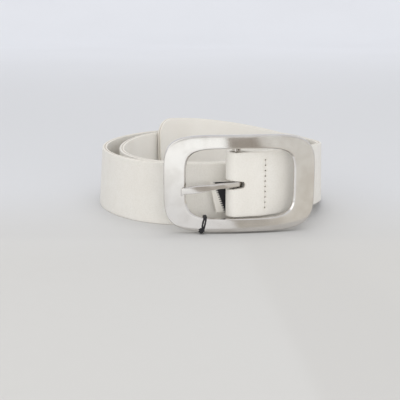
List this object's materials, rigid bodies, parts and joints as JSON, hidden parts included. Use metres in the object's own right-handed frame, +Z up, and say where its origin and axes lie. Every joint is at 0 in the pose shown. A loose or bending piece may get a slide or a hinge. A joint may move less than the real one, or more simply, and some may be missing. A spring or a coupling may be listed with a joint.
{
  "type": "leather belt",
  "caption": "Leather strap coiled on its edge, folded and sewn round the bar of a rounded oblong buckle with a swinging prong.",
  "frame": {"origin": "middle of the footprint, on the surface that the coiled strap's lower edge stands on", "axes": "+Z up, along the strap's width; -Y towards the front, where the buckle is; +X to the right seen from the front"},
  "size_m": [0.1572, 0.1751, 0.0608],
  "materials": {
    "face_leather": "smooth off-white leather, semi-matt, fine grain",
    "leatherboard": "plain bonded fibre board",
    "lining_leather": "matt off-white split leather",
    "woven_tape": "black woven tape with a pinked edge",
    "thread": "twisted off-white sewing thread",
    "satin_nickel": "polished to a soft satin, rounded edges",
    "black_cord": "waxed black cord"
  },
  "bodies": {
    "strap": {"strap_face": "face_leather", "strap_core": "leatherboard", "strap_lining": "lining_leather", "fold_tape": "woven_tape", "fold_backing": "face_leather", "stitch_thread": "thread"},
    "buckle": {"buckle_frame": "satin_nickel", "buckle_bar": "satin_nickel", "tag_cord": "black_cord"},
    "prong": {"buckle_prong": "satin_nickel"}
  },
  "joints": [
    {"name": "buckle_swing", "type": "hinge", "parent": "strap", "child": "buckle", "pos_m": [0.01536, -0.07487, 0.0296], "axis": [0, 0, 1], "range_deg": [-16, 9]},
    {"name": "prong_swing", "type": "hinge", "parent": "buckle", "child": "prong", "pos_m": [0.01536, -0.07487, 0.0296], "axis": [0, 0, 1], "range_deg": [0, 70]}
  ]
}
